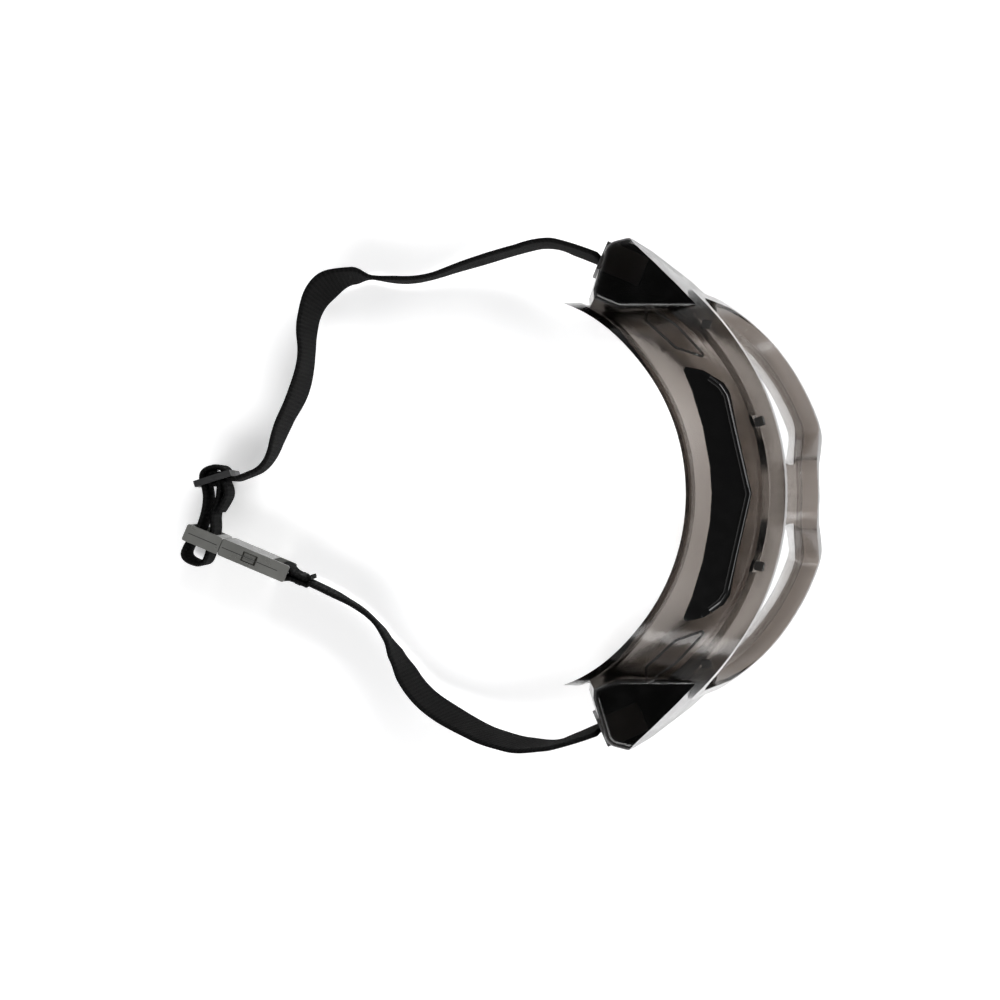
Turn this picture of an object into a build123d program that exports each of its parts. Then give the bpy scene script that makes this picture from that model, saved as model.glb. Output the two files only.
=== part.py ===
from build123d import *
from math import atan2, sqrt, tan
import os

os.makedirs("parts", exist_ok=True)

# Sports protective goggles standing on their lower edge.
# +Z up, +X to the wearer's left, the lens faces -Y. The origin is on the table, under the body's middle.

# overall sizes
LEAN = 19.0             # the goggles lean back by this angle when they stand on a table
RIM_WIDTH = 142.0       # front rim, side to side
RIM_HEIGHT = 78.0       # front rim, top to bottom lobe
RIM_RADIUS = 84.0       # wrap radius of the rim's front edge
RIM_DEPTH = 9.2
RIM_WALL = 3.4
RIM_CORNER = 24.0
RIM_LIFT = 7.5          # the lower edge rises by this to its outer corners
NOSE_HALF = 21.0        # nose arch half width at its foot
NOSE_HEIGHT = 20.0
# soft body behind the rim
BODY_DEPTH = 32.0       # rim front to the forehead edge, on the centre line
FACE_RADIUS = 68.0      # wrap radius of the face seal
FACE_HALF = 62.0
FACE_CORNER = 20.0
FACE_NOSE_HALF = 24.0
FACE_NOSE_HEIGHT = 22.0
SKIN = 2.2
SEAL_LIP = 5.0          # how far the face seal turns outwards
SEAL_THICK = 2.0
# lens
LENS_THICK = 2.2
LENS_SETBACK = 5.6      # front of the rim to the front of the lens
LENS_BITE = 1.6         # depth of the lens edge in the rim's groove
LENS_CLEAR = 0.05
TAB_WIDTH = 4.0
TAB_X = (0.33, -0.33)   # top tabs, as a share of the half width
# vents
VENT_THICK = 1.6
PAD_RAISE = 1.0
VENT_LIP = 1.1
VENT_SEAT = 2.4         # how far the cover overlaps its window
FILTER_THICK = 3.0
LOW_VENT_IN = 10.0      # lower windows, from the middle to their inner end
LOW_VENT_LONG = 46.0
LOW_VENT_DEEP = 8.0
LOW_VENT_GAP = 0.3      # behind the rim
# strap lug and anchor
LUG_HEIGHT = 38.0
LUG_REACH = RIM_WIDTH / 2 + 14.0    # half width over the lugs
LUG_ROUND = 2.4
ANCHOR_CLEAR = 0.05
PIN_R = 1.6
# straps
STRAP_WIDTH = 25.0
STRAP_THICK = 1.6
STRAP_HIGH = 42.0       # strap centre height at the lugs
# buckle
BUCKLE_HEIGHT = 30.0
BUCKLE_THICK = 6.0
BUCKLE_WALL = 1.3
BUCKLE_CLEAR = 0.25
BAR_R = 1.5
SOCKET_LONG = 25.0
CLIP_BASE_LONG = 12.0
ARM_LONG = 15.0
GLIDE_LONG = 13.0
STRAP_LOW = BUCKLE_HEIGHT / 2 + 0.3     # strap centre height where it lies on the table


def distance(a, b):
    return sqrt((b[0] - a[0]) ** 2 + (b[1] - a[1]) ** 2)


def unit(a, b):
    d = distance(a, b)
    return ((b[0] - a[0]) / d, (b[1] - a[1]) / d)


def bend_radii(points):
    """The radius at each inner point: 0.45 of the shorter run over the tangent of half the turn."""
    radii = []
    for a, b, c in zip(points, points[1:], points[2:]):
        u, v = unit(a, b), unit(b, c)
        turn = abs(atan2(u[0] * v[1] - u[1] * v[0], u[0] * v[0] + u[1] * v[1]))
        run = min(distance(a, b), distance(b, c))
        radii.append(0.45 * run / tan(turn / 2))
    return radii


def outline(half, height, corner, nose_half, nose_height, low=0.0, lift=0.0):
    """The front view of the rim or of the face seal: a rounded oblong with a nose arch below."""
    points = [
        (nose_half * 0.42, low + nose_height),
        (nose_half * 1.05, low),
        (half * 0.96, low + lift),
        (half * 0.985, low + height),
    ]
    left = [(-x, z) for x, z in reversed(points)]
    radii = [nose_half * 0.38, nose_half * 0.36, corner * 0.9, corner]
    return points + left, radii + list(reversed(radii))


def face_of(shape, grow=0.0):
    points, radii = shape
    with BuildSketch(Plane.XZ) as area:
        with BuildLine():
            FilletPolyline(*points, radius=radii, close=True)
        make_face()
        if grow:
            offset(amount=grow, kind=Kind.INTERSECTION)
    return area.sketch


def stand(shape):
    """From the worn pose, lens upright, to standing on the lower edge."""
    return Pos(0, STAND_Y, STAND_Z) * Rot(-LEAN, 0, 0) * shape


STAND_Y = -48.4
STAND_Z = 4.3
rim_shape = outline(RIM_WIDTH / 2, RIM_HEIGHT, RIM_CORNER, NOSE_HALF, NOSE_HEIGHT, 0.0, RIM_LIFT)
SEAL_LOW = SEAL_LIP + 8.0 * LEAN / 19.0
SEAL_LIFT = 13.0 * LEAN / 19.0       # the cheek edges rise to the sides, so both sides stand flat
face_shape = outline(
    FACE_HALF, RIM_HEIGHT - 0.8 - SEAL_LOW, FACE_CORNER, FACE_NOSE_HALF, FACE_NOSE_HEIGHT, SEAL_LOW, SEAL_LIFT
)
FRONT_Y = -4.0
BACK_Y = BODY_DEPTH + 56.0


def rim_band(front, back):
    """Everything between two wrap radii of the front rim."""
    with BuildPart() as band:
        with Locations((0, RIM_RADIUS, RIM_HEIGHT / 2)):
            Cylinder(RIM_RADIUS - front, RIM_HEIGHT * 2)
            Cylinder(RIM_RADIUS - back, RIM_HEIGHT * 2, mode=Mode.SUBTRACT)
            with Locations((0, RIM_RADIUS * 0.98, 0)):
                Box(RIM_RADIUS * 3, RIM_RADIUS * 2, RIM_HEIGHT * 3, mode=Mode.SUBTRACT)
    return band.part


def skin(grow=0.0):
    """The soft body's outer form, or that form grown by an amount."""
    with BuildPart() as form:
        with BuildSketch(Plane.XZ.offset(-FRONT_Y)):
            add(face_of(rim_shape, grow - 0.8))
        with BuildSketch(Plane.XZ.offset(-BACK_Y)):
            add(face_of(face_shape, grow))
        loft(ruled=True)
    return form.part


def prism(shape, grow=0.0):
    with BuildPart() as block:
        with BuildSketch(Plane.XZ.offset(-FRONT_Y)):
            add(face_of(shape, grow))
        extrude(amount=-(BACK_Y - FRONT_Y))
    return block.part


# the face cylinder: everything in front of the seal's contact surface
with BuildPart() as ahead_of_face:
    with Locations((0, BODY_DEPTH / 2, RIM_HEIGHT / 2)):
        Box(RIM_WIDTH * 1.6, BODY_DEPTH + 110, RIM_HEIGHT * 2)
    with Locations((0, BODY_DEPTH + FACE_RADIUS, RIM_HEIGHT / 2)):
        Cylinder(FACE_RADIUS, RIM_HEIGHT * 2, mode=Mode.SUBTRACT)
with BuildPart() as seal_band:
    with Locations((0, BODY_DEPTH + FACE_RADIUS, RIM_HEIGHT / 2)):
        Cylinder(FACE_RADIUS + SEAL_THICK, RIM_HEIGHT * 2)
        Cylinder(FACE_RADIUS, RIM_HEIGHT * 2, mode=Mode.SUBTRACT)
    with Locations((0, BODY_DEPTH + FACE_RADIUS + FACE_RADIUS * 0.80, RIM_HEIGHT / 2)):
        Box(FACE_RADIUS * 3, FACE_RADIUS * 2, RIM_HEIGHT * 3, mode=Mode.SUBTRACT)

# outer skin, inner skin and the parts of the body that they bound
outer_skin = skin()
inner_skin = skin(-SKIN)
lens_front = LENS_SETBACK
lens_back = LENS_SETBACK + LENS_THICK

with BuildPart() as lens_worn:
    add(prism(rim_shape, -RIM_WALL + LENS_BITE))
    add(rim_band(lens_front, lens_back), mode=Mode.INTERSECT)
with BuildPart() as tabs_worn:
    with Locations(*[(share * RIM_WIDTH / 2, 0, RIM_HEIGHT - RIM_WALL / 2) for share in TAB_X]):
        Box(TAB_WIDTH, RIM_WIDTH * 2, RIM_WALL + 2.0)
    for side in (1, -1):
        with Locations((side * RIM_WIDTH / 2 * 0.97, 0, RIM_HEIGHT * 0.62)):
            Box(RIM_WALL * 2.2, RIM_WIDTH * 2, TAB_WIDTH * 1.5)
    add(prism(rim_shape, 0.35), mode=Mode.INTERSECT)
    add(prism(rim_shape, -RIM_WALL), mode=Mode.SUBTRACT)
    add(rim_band(lens_front, lens_back), mode=Mode.INTERSECT)
with BuildPart() as groove:
    add(prism(rim_shape, -RIM_WALL + LENS_BITE + LENS_CLEAR))
    add(rim_band(lens_front - LENS_CLEAR, lens_back + LENS_CLEAR), mode=Mode.INTERSECT)

# lug and strap anchor positions, seen from above, for the +X side
LUG_BACK = (LUG_REACH - 6.1, 34.1)
OUT = unit((0.0, 0.0), (0.40, 0.917))
PIN_IN = 8.0            # the pin's distance in from the lug's back
PIN_GAP = 0.05
LOOP_R = PIN_R + PIN_GAP + STRAP_THICK
ANCHOR_LONG = 13.5
ANCHOR_WIDE = 2 * LOOP_R + 3.4
lug_points = [
    (LUG_REACH - 1.9, 33.6),
    (LUG_REACH, 26.0),
    (LUG_REACH - 2.6, 17.6),
    (LUG_REACH - 10.0, 5.0),
    (LUG_REACH - 15.6, -5.5),
    (LUG_REACH - 24.0, -5.5),
    (LUG_REACH - 24.0, 30.0),
    (LUG_REACH - 20.5, 38.0),
    (LUG_REACH - 17.3, 38.2),
]
# the lug's front wedge runs into the rim's side, on the worn plan, so it leans back with the rim
lug_wedge = [
    (LUG_REACH - 35.0, 20.0),
    (LUG_REACH - 15.7, 37.5),
    (LUG_REACH - 9.0, 44.0),
    (LUG_REACH + 4.0, 57.0),
    (LUG_REACH + 4.0, 130.0),
    (LUG_REACH - 35.0, 130.0),
]


def mirrored(points):
    return [(-x, y) for x, y in reversed(points)]


def lug(side):
    with BuildPart() as block:
        with BuildSketch(Plane.XY.offset(STRAP_HIGH - LUG_HEIGHT / 2)):
            with BuildLine():
                Polyline(*(lug_points if side > 0 else mirrored(lug_points)), close=True)
            make_face()
        extrude(amount=LUG_HEIGHT)
        outer = block.edges().filter_by(Axis.Z).sort_by(Axis.X, reverse=side > 0)[:4]
        fillet(outer, 5.0)
        fillet(block.edges().group_by(Axis.Z)[-1], LUG_ROUND)
        fillet(block.edges().group_by(Axis.Z)[0], LUG_ROUND)
    with BuildPart() as wedge:
        with BuildSketch(Plane.XY.offset(-RIM_HEIGHT)):
            with BuildLine():
                Polyline(*(lug_wedge if side > 0 else mirrored(lug_wedge)), close=True)
            make_face()
        extrude(amount=RIM_HEIGHT * 3)
    return block.part & stand(wedge.part)


def lug_plane(side):
    """Local X runs out of the lug along the strap, local Y across it, outwards on the +X side."""
    return Plane(origin=(side * LUG_BACK[0], LUG_BACK[1], STRAP_HIGH), x_dir=(side * OUT[0], OUT[1], 0))


def anchor_block(side, grow=0.0):
    with BuildPart(lug_plane(side)) as block:
        with Locations((-ANCHOR_LONG / 2 + 0.6, 0, 0)):
            Box(ANCHOR_LONG + 1.2 + grow * 2, ANCHOR_WIDE + grow * 2, STRAP_WIDTH + 6.0 + grow * 2)
    return block.part


with BuildPart() as low_windows:
    add(rim_band(RIM_DEPTH + LOW_VENT_GAP, RIM_DEPTH + LOW_VENT_GAP + LOW_VENT_DEEP))
    with BuildPart(mode=Mode.INTERSECT):
        middle = LOW_VENT_IN + LOW_VENT_LONG / 2
        with Locations((middle, 30, 4), (-middle, 30, 4)):
            Box(LOW_VENT_LONG, 90, NOSE_HEIGHT * 2)

# top vent cover and embossed pads, seen from above, +X half
vent_half = [
    (0.0, -12.4),
    (19.7, -8.0),
    (32.6, -5.6),
    (36.0, -3.6),
    (40.4, 3.0),
    (41.9, 9.6),
    (33.6, 6.3),
    (21.9, 2.9),
    (9.0, 0.6),
    (0.0, 0.1),
]
pad_half = [(65.0, 26.5), (61.5, 18.0), (56.0, 11.0), (44.0, 1.2), (47.5, 11.8), (57.5, 21.5)]


def plan_prism(points, grow=0.0, low=45.0, high=95.0, corner=1.0):
    with BuildPart() as block:
        with BuildSketch(Plane.XY.offset(low)) as area:
            with BuildLine():
                Polyline(*points, close=True)
            make_face()
            if grow:
                offset(amount=grow, kind=Kind.INTERSECTION)
            if corner:
                fillet(area.vertices(), corner)
        extrude(amount=high - low)
    return block.part


def grown(amount):
    return stand(skin(amount))


vent_points = vent_half[:-1] + [(0.0, 0.1)] + [(-x, y) for x, y in reversed(vent_half[1:-1])]
lip_points = vent_half[:5] + [(38.9, 3.4), (34.8, -2.4), (32.0, -4.0), (19.4, -6.3), (0.0, -10.7)]
lip_points = lip_points + [(-x, y) for x, y in reversed(lip_points[1:-1])]
stood_outer = stand(outer_skin)
stood_inner = stand(inner_skin)


def top_slab(low, high):
    """A layer of the flat top panel, from low to high above the skin's outer face."""
    with BuildPart() as slab:
        with Locations((0, BODY_DEPTH / 2, RIM_HEIGHT - 0.8 + (low + high) / 2)):
            Box(RIM_WIDTH, BODY_DEPTH * 3, high - low)
    return stand(slab.part)


with BuildPart() as vent_window:
    add(plan_prism(vent_points, -VENT_SEAT, corner=0))
    add(top_slab(-SKIN - 1.0, 1.0), mode=Mode.INTERSECT)

with BuildPart() as frame_body:
    with BuildPart(mode=Mode.PRIVATE) as worn:
        add(outer_skin)
        add(inner_skin, mode=Mode.SUBTRACT)
        add(ahead_of_face.part, mode=Mode.INTERSECT)
        with BuildPart(mode=Mode.SUBTRACT):
            with Locations((0, RIM_RADIUS, RIM_HEIGHT / 2)):
                Cylinder(RIM_RADIUS * 5, RIM_HEIGHT * 3)
                Cylinder(RIM_RADIUS - RIM_DEPTH + 1.0, RIM_HEIGHT * 3, mode=Mode.SUBTRACT)
                with Locations((0, RIM_RADIUS * 3, 0)):
                    Box(RIM_RADIUS * 12, RIM_RADIUS * 6, RIM_HEIGHT * 4, mode=Mode.SUBTRACT)
        with BuildPart(mode=Mode.ADD):
            add(prism(rim_shape))
            add(prism(rim_shape, -RIM_WALL), mode=Mode.SUBTRACT)
            add(rim_band(0, RIM_DEPTH), mode=Mode.INTERSECT)
        with BuildPart(mode=Mode.ADD):
            add(prism(face_shape, SEAL_LIP))
            add(prism(face_shape, -SKIN), mode=Mode.SUBTRACT)
            add(seal_band.part, mode=Mode.INTERSECT)
        add(groove.part, mode=Mode.SUBTRACT)
        add(tabs_worn.part, mode=Mode.SUBTRACT)
        add(low_windows.part, mode=Mode.SUBTRACT)
    add(stand(worn.part))
    for side in (1, -1):
        add(lug(side) - stood_inner)
        pad = pad_half if side > 0 else mirrored(pad_half)
        add((plan_prism(pad, corner=0.8) & grown(PAD_RAISE)) - stood_inner)
    add(stand(groove.part), mode=Mode.SUBTRACT)
    add(stand(tabs_worn.part), mode=Mode.SUBTRACT)
    add(vent_window.part, mode=Mode.SUBTRACT)
    for side in (1, -1):
        add(anchor_block(side, ANCHOR_CLEAR), mode=Mode.SUBTRACT)
    with Locations((0, 0, -25)):
        Box(300, 300, 50, mode=Mode.SUBTRACT)

with BuildPart() as lens:
    add(stand(lens_worn.part))
    add(stand(tabs_worn.part))

with BuildPart() as vent_cover:
    add(plan_prism(vent_points))
    add(top_slab(0, VENT_THICK), mode=Mode.INTERSECT)
    with BuildPart(mode=Mode.ADD):
        add(plan_prism(lip_points, corner=0))
        add(top_slab(0, VENT_THICK + VENT_LIP), mode=Mode.INTERSECT)
    with BuildPart(mode=Mode.ADD):
        add(plan_prism(vent_points, -VENT_SEAT - 0.05, corner=0))
        add(top_slab(-SKIN, 0), mode=Mode.INTERSECT)

with BuildPart() as vent_filter:
    add(plan_prism(vent_points, -VENT_SEAT + 0.9, corner=0))
    add(top_slab(-SKIN - FILTER_THICK, -SKIN), mode=Mode.INTERSECT)


def anchor(side):
    with BuildPart(lug_plane(side)) as block:
        with Locations((-ANCHOR_LONG / 2 + 0.6, 0, 0)):
            Box(ANCHOR_LONG + 1.2, ANCHOR_WIDE, STRAP_WIDTH + 6.0)
        with Locations((-4.0, 0, 0)):
            Box(16.0, 2 * LOOP_R + 0.2, STRAP_WIDTH + 1.0, mode=Mode.SUBTRACT)
        with Locations((-PIN_IN, 0, 0)):
            Cylinder(PIN_R, STRAP_WIDTH + 2.0)
    return block.part


def shifted(plane, along, across=0.0):
    return Plane(
        origin=plane.origin + plane.x_dir * along + plane.y_dir * across, x_dir=plane.x_dir, z_dir=plane.z_dir
    )


def bar_loop(plane, bar_r, stack_long):
    """A strap end round a bar and sewn to itself; the sewn stack leaves along local X."""
    with BuildPart() as ring:
        with BuildSketch(plane.offset(-STRAP_WIDTH / 2)):
            Circle(bar_r + PIN_GAP + STRAP_THICK)
            with Locations(((bar_r + STRAP_THICK + stack_long) / 2, 0)):
                Rectangle(bar_r + STRAP_THICK + stack_long, 2 * STRAP_THICK)
            Circle(bar_r + PIN_GAP, mode=Mode.SUBTRACT)
        extrude(amount=STRAP_WIDTH)
    return ring.part


def heights(points):
    """The strap's height profile, as a band seen from the side: high at the lug, low on the table."""
    return [(y, STRAP_HIGH + (STRAP_LOW - STRAP_HIGH) * share) for y, share in points]


def ribbon(route, profile):
    """A strap standing on edge along a plan route, sinking as its side profile says."""
    with BuildPart() as strap:
        with BuildSketch(Plane.XY):
            with BuildLine() as line:
                FilletPolyline(*route, radius=bend_radii(route))
            trace(line.line, STRAP_THICK)
        extrude(amount=STRAP_HIGH + STRAP_WIDTH)
        with BuildPart(mode=Mode.INTERSECT):
            with BuildSketch(Plane.YZ.offset(-LUG_REACH * 1.5)):
                with BuildLine():
                    top = [(y, z + STRAP_WIDTH / 2) for y, z in profile]
                    low = [(y, z - STRAP_WIDTH / 2) for y, z in reversed(profile)]
                    Polyline(*(top + low), close=True)
                make_face()
            extrude(amount=LUG_REACH * 3)
    return strap.part, line.wires()[0].length, bend_radii(route)


# where the strap stack leaves each lug
STACK = 5.0
STACK_END = -PIN_IN + PIN_R + STRAP_THICK + STACK
left_exit = shifted(lug_plane(1), STACK_END + 0.05).origin
right_exit = shifted(lug_plane(-1), STACK_END + 0.05).origin
sink = [
    (LUG_BACK[1] - 9, 0.0),
    (LUG_BACK[1] + 3, 0.0),
    (62.0, 0.40),
    (84.0, 0.83),
    (103.0, 1.0),
    (200.0, 1.0),
]
strap_profile = heights(sink)

# buckle and slider places on the table, seen from above
BUCKLE_AXIS = unit((0.0, 0.0), (-0.39, -0.921))
BUCKLE_AT = (-17.9, 165.4)
GLIDE_AXIS = unit((0.0, 0.0), (-0.30, 0.954))
GLIDE_AT = (5.4, 168.0)
buckle_plane = Plane(origin=(*BUCKLE_AT, STRAP_LOW), x_dir=(*BUCKLE_AXIS, 0))
glide_plane = Plane(origin=(*GLIDE_AT, STRAP_LOW), x_dir=(*GLIDE_AXIS, 0))


def on(plane, x, y):
    p = plane.origin + plane.x_dir * x + plane.y_dir * y
    return (p.X, p.Y)


SOCKET_BAR_X = SOCKET_LONG - BAR_R - 0.2
CLIP_BAR_X = -7.2
socket_bar = on(buckle_plane, SOCKET_BAR_X, 0)
clip_bar = on(buckle_plane, CLIP_BAR_X, 0)

# short strap: from the right lug to the socket's bar
short_end = (-37.0, 122.0)
toward_bar = unit(short_end, socket_bar)
short_stack_far = BAR_R + STRAP_THICK + 6.05
short_stop = (
    socket_bar[0] - toward_bar[0] * short_stack_far,
    socket_bar[1] - toward_bar[1] * short_stack_far,
)
short_route = [
    (right_exit.X, right_exit.Y),
    on(lug_plane(-1), STACK_END + 9.0, 0.0),
    (-LUG_REACH - 2.0, 55.0),
    (-LUG_REACH, 70.0),
    (-LUG_REACH + 6.0, 84.0),
    (-70.0, 97.5),
    (-57.0, 105.0),
    (-45.0, 111.5),
    (-37.0, 122.0),
    short_stop,
]
long_route = [
    (left_exit.X, left_exit.Y),
    on(lug_plane(1), STACK_END + 9.0, 0.0),
    (LUG_REACH + 1.0, 53.0),
    (LUG_REACH - 1.5, 66.0),
    (LUG_REACH - 5.5, 81.0),
    (75.0, 96.0),
    (75.0, 109.0),
    (77.5, 121.0),
    (72.0, 132.5),
    (60.0, 137.0),
    (47.0, 136.5),
    (35.0, 139.5),
    (24.0, 145.5),
    (9.6, 150.0),
    on(glide_plane, -8.0, 2.2),
]
short_solid, short_length, short_radii = ribbon(short_route, strap_profile)
long_solid, long_length, long_radii = ribbon(long_route, strap_profile)

with BuildPart() as strap_short:
    add(short_solid)
with BuildPart() as strap_long:
    add(long_solid)
with BuildPart() as anchor_left:
    add(anchor(1))
with BuildPart() as anchor_right:
    add(anchor(-1))
with BuildPart() as loop_left:
    add(bar_loop(shifted(lug_plane(1), -PIN_IN), PIN_R, STACK))
with BuildPart() as loop_right:
    add(bar_loop(shifted(lug_plane(-1), -PIN_IN), PIN_R, STACK))
with BuildPart() as loop_socket:
    back = Plane(origin=(*socket_bar, STRAP_LOW), x_dir=(-toward_bar[0], -toward_bar[1], 0))
    add(bar_loop(back, BAR_R, 6.0))

# buckle socket: a flat hollow case with an end bar for the strap
SLOT_HIGH = STRAP_WIDTH + 1.2
with BuildPart(buckle_plane) as buckle_socket:
    with Locations((SOCKET_LONG / 2 + BUCKLE_CLEAR / 2, 0, 0)):
        Box(SOCKET_LONG - BUCKLE_CLEAR, BUCKLE_THICK, BUCKLE_HEIGHT)
    fillet(buckle_socket.edges().filter_by(GeomType.LINE).sort_by(SortBy.LENGTH)[-4:], 0.8)
    with Locations((BUCKLE_CLEAR + 8.2, 0, 0)):
        Box(17.0, BUCKLE_THICK - 2 * BUCKLE_WALL, SLOT_HIGH, mode=Mode.SUBTRACT)
    with Locations((11.0, 0, 0)):
        Box(5.4, BUCKLE_THICK - 2 * BUCKLE_WALL, BUCKLE_HEIGHT * 2, mode=Mode.SUBTRACT)
    with Locations((SOCKET_LONG - 2.9, 0, 0)):
        Box(7.0, BUCKLE_THICK * 2, SLOT_HIGH, mode=Mode.SUBTRACT)
    with Locations((SOCKET_BAR_X, 0, 0)):
        Cylinder(BAR_R, SLOT_HIGH + 1.0)

# buckle clip: a base with a bar for the doubled strap, a guide tongue and two spring arms
ROOT_X = 1.9
ROOT_R = 1.5
ARM_Z = 8.0
with BuildPart(buckle_plane) as buckle_clip:
    with Locations((-CLIP_BASE_LONG / 2 - 0.5, 0, 0)):
        Box(CLIP_BASE_LONG + 1.0, BUCKLE_THICK, BUCKLE_HEIGHT)
    fillet(buckle_clip.edges().filter_by(GeomType.LINE).sort_by(SortBy.LENGTH)[-4:], 0.8)
    with Locations((CLIP_BAR_X, 0, 0)):
        Box(9.2, BUCKLE_THICK * 2, SLOT_HIGH, mode=Mode.SUBTRACT)
        Cylinder(BAR_R, SLOT_HIGH + 1.0)
    with Locations((ARM_LONG / 2 - 0.5, 0, 0)):
        Box(ARM_LONG, BUCKLE_THICK - 2 * BUCKLE_WALL - 0.5, 5.0)


def arm(side):
    """A spring arm with a round root and a hook that catches in the socket's side window."""
    with BuildPart(buckle_plane) as blade:
        thick = BUCKLE_THICK - 2 * BUCKLE_WALL - 0.5
        with Locations(Location((ROOT_X, 0, side * ARM_Z), (90, 0, 0))):
            Cylinder(ROOT_R, thick)
        with Locations((ROOT_X + ARM_LONG / 2 - 1.0, 0, side * ARM_Z)):
            Box(ARM_LONG - 2.0, thick, 2.6)
        with Locations((10.85, 0, side * (ARM_Z + 3.4))):
            Box(4.1, thick, 5.6)
    return blade.part


with BuildPart() as clip_arm_upper:
    add(arm(1))
with BuildPart() as clip_arm_lower:
    add(arm(-1))

# slider: a flat frame with a middle bar
GLIDE_THICK = 2.2
GLIDE_BAR_R = 1.1
with BuildPart(glide_plane) as slider:
    Box(GLIDE_LONG, GLIDE_THICK, BUCKLE_HEIGHT)
    Box(GLIDE_LONG - 2.6, GLIDE_THICK * 2, SLOT_HIGH, mode=Mode.SUBTRACT)
    Cylinder(GLIDE_BAR_R, SLOT_HIGH + 1.0)

# the doubled run: through the slider, round the clip's bar and back to the slider's middle bar
clip_r = BAR_R + PIN_GAP + STRAP_THICK / 2
glide_r = GLIDE_BAR_R + PIN_GAP + STRAP_THICK / 2
far_side = on(buckle_plane, CLIP_BAR_X - clip_r, 0)
near_side = on(buckle_plane, CLIP_BAR_X + clip_r, 0)
run_out = [
    on(glide_plane, -7.6, 2.2),
    on(glide_plane, -4.05, 2.2),
    on(glide_plane, -4.05, -4.0),
    on(glide_plane, 4.05, -4.0),
    on(glide_plane, 4.05, 5.0),
    on(buckle_plane, CLIP_BAR_X - clip_r, 5.0),
    far_side,
]
run_back = [
    near_side,
    on(buckle_plane, CLIP_BAR_X + clip_r, 4.0),
    on(glide_plane, -glide_r, 7.0),
    on(glide_plane, -glide_r, 0.0),
]


def standing_strip(route):
    with BuildPart() as strip:
        with BuildSketch(Plane.XY.offset(STRAP_LOW - STRAP_WIDTH / 2)):
            with BuildLine() as line:
                FilletPolyline(*route, radius=bend_radii(route))
            trace(line.line, STRAP_THICK)
        extrude(amount=STRAP_WIDTH)
    return strip.part


def bar_ring(centre, bar_r):
    with BuildPart() as ring:
        with Locations((centre[0], centre[1], STRAP_LOW)):
            Cylinder(bar_r + PIN_GAP + STRAP_THICK, STRAP_WIDTH)
            Cylinder(bar_r + PIN_GAP, STRAP_WIDTH * 1.1, mode=Mode.SUBTRACT)
    return ring.part


with BuildPart() as strap_run_out:
    add(standing_strip(run_out))
    add(bar_ring(clip_bar, BAR_R))
with BuildPart() as strap_run_back:
    add(standing_strip(run_back))
    add(bar_ring(GLIDE_AT, GLIDE_BAR_R))
    with BuildPart(mode=Mode.SUBTRACT):
        with Locations((*clip_bar, STRAP_LOW)):
            Cylinder(BAR_R + PIN_GAP + STRAP_THICK, STRAP_WIDTH * 1.1)

# move everything so that the origin is under the middle of the body
body_box = frame_body.part.bounding_box()
to_origin = Location((0, -(body_box.min.Y + body_box.max.Y) / 2, 0))
for piece in (
    frame_body,
    lens,
    vent_cover,
    vent_filter,
    anchor_left,
    anchor_right,
    loop_left,
    loop_right,
    strap_long,
    strap_short,
    loop_socket,
    slider,
    strap_run_out,
    strap_run_back,
    buckle_clip,
    clip_arm_upper,
    clip_arm_lower,
    buckle_socket,
):
    piece.part = piece.part.moved(to_origin)

frame_body.part.label = "frame_body"
lens.part.label = "lens"
vent_cover.part.label = "vent_cover"
vent_filter.part.label = "vent_filter"
anchor_left.part.label = "anchor_left"
anchor_right.part.label = "anchor_right"
loop_left.part.label = "loop_left"
loop_right.part.label = "loop_right"
strap_long.part.label = "strap_long"
strap_short.part.label = "strap_short"
loop_socket.part.label = "loop_socket"
slider.part.label = "slider"
strap_run_out.part.label = "strap_run_out"
strap_run_back.part.label = "strap_run_back"
buckle_clip.part.label = "buckle_clip"
clip_arm_upper.part.label = "clip_arm_upper"
clip_arm_lower.part.label = "clip_arm_lower"
buckle_socket.part.label = "buckle_socket"

export_step(frame_body.part, "parts/frame_body.step")
export_step(lens.part, "parts/lens.step")
export_step(vent_cover.part, "parts/vent_cover.step")
export_step(vent_filter.part, "parts/vent_filter.step")
export_step(anchor_left.part, "parts/anchor_left.step")
export_step(anchor_right.part, "parts/anchor_right.step")
export_step(loop_left.part, "parts/loop_left.step")
export_step(loop_right.part, "parts/loop_right.step")
export_step(strap_long.part, "parts/strap_long.step")
export_step(strap_short.part, "parts/strap_short.step")
export_step(loop_socket.part, "parts/loop_socket.step")
export_step(slider.part, "parts/slider.step")
export_step(strap_run_out.part, "parts/strap_run_out.step")
export_step(strap_run_back.part, "parts/strap_run_back.step")
export_step(buckle_clip.part, "parts/buckle_clip.step")
export_step(clip_arm_upper.part, "parts/clip_arm_upper.step")
export_step(clip_arm_lower.part, "parts/clip_arm_lower.step")
export_step(buckle_socket.part, "parts/buckle_socket.step")

for name, solid, length, radii in (
    ("strap_long", long_solid, long_length, long_radii),
    ("strap_short", short_solid, short_length, short_radii),
):
    share = solid.volume / (length * STRAP_THICK * STRAP_WIDTH)
    print(name, "length", round(length, 1), "volume share", round(share, 3))
    print(name, "radii", [round(r, 1) for r in radii])

shift = to_origin.position.Y
print("shift", round(shift, 3))
for side in (1, -1):
    x, y = on(buckle_plane, ROOT_X, 0)
    print("arm root", round(x, 3), round(y + shift, 3), round(STRAP_LOW + side * ARM_Z, 3))
for name, route in (("long", long_route), ("short", short_route), ("out", run_out), ("back", run_back)):
    print(name, [(round(x, 2), round(y + shift, 2)) for x, y in route])
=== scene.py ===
from math import cos, hypot, pi, radians, sin

import bmesh
import bpy
from mathutils import Matrix, Vector
from mathutils.bvhtree import BVHTree


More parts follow.
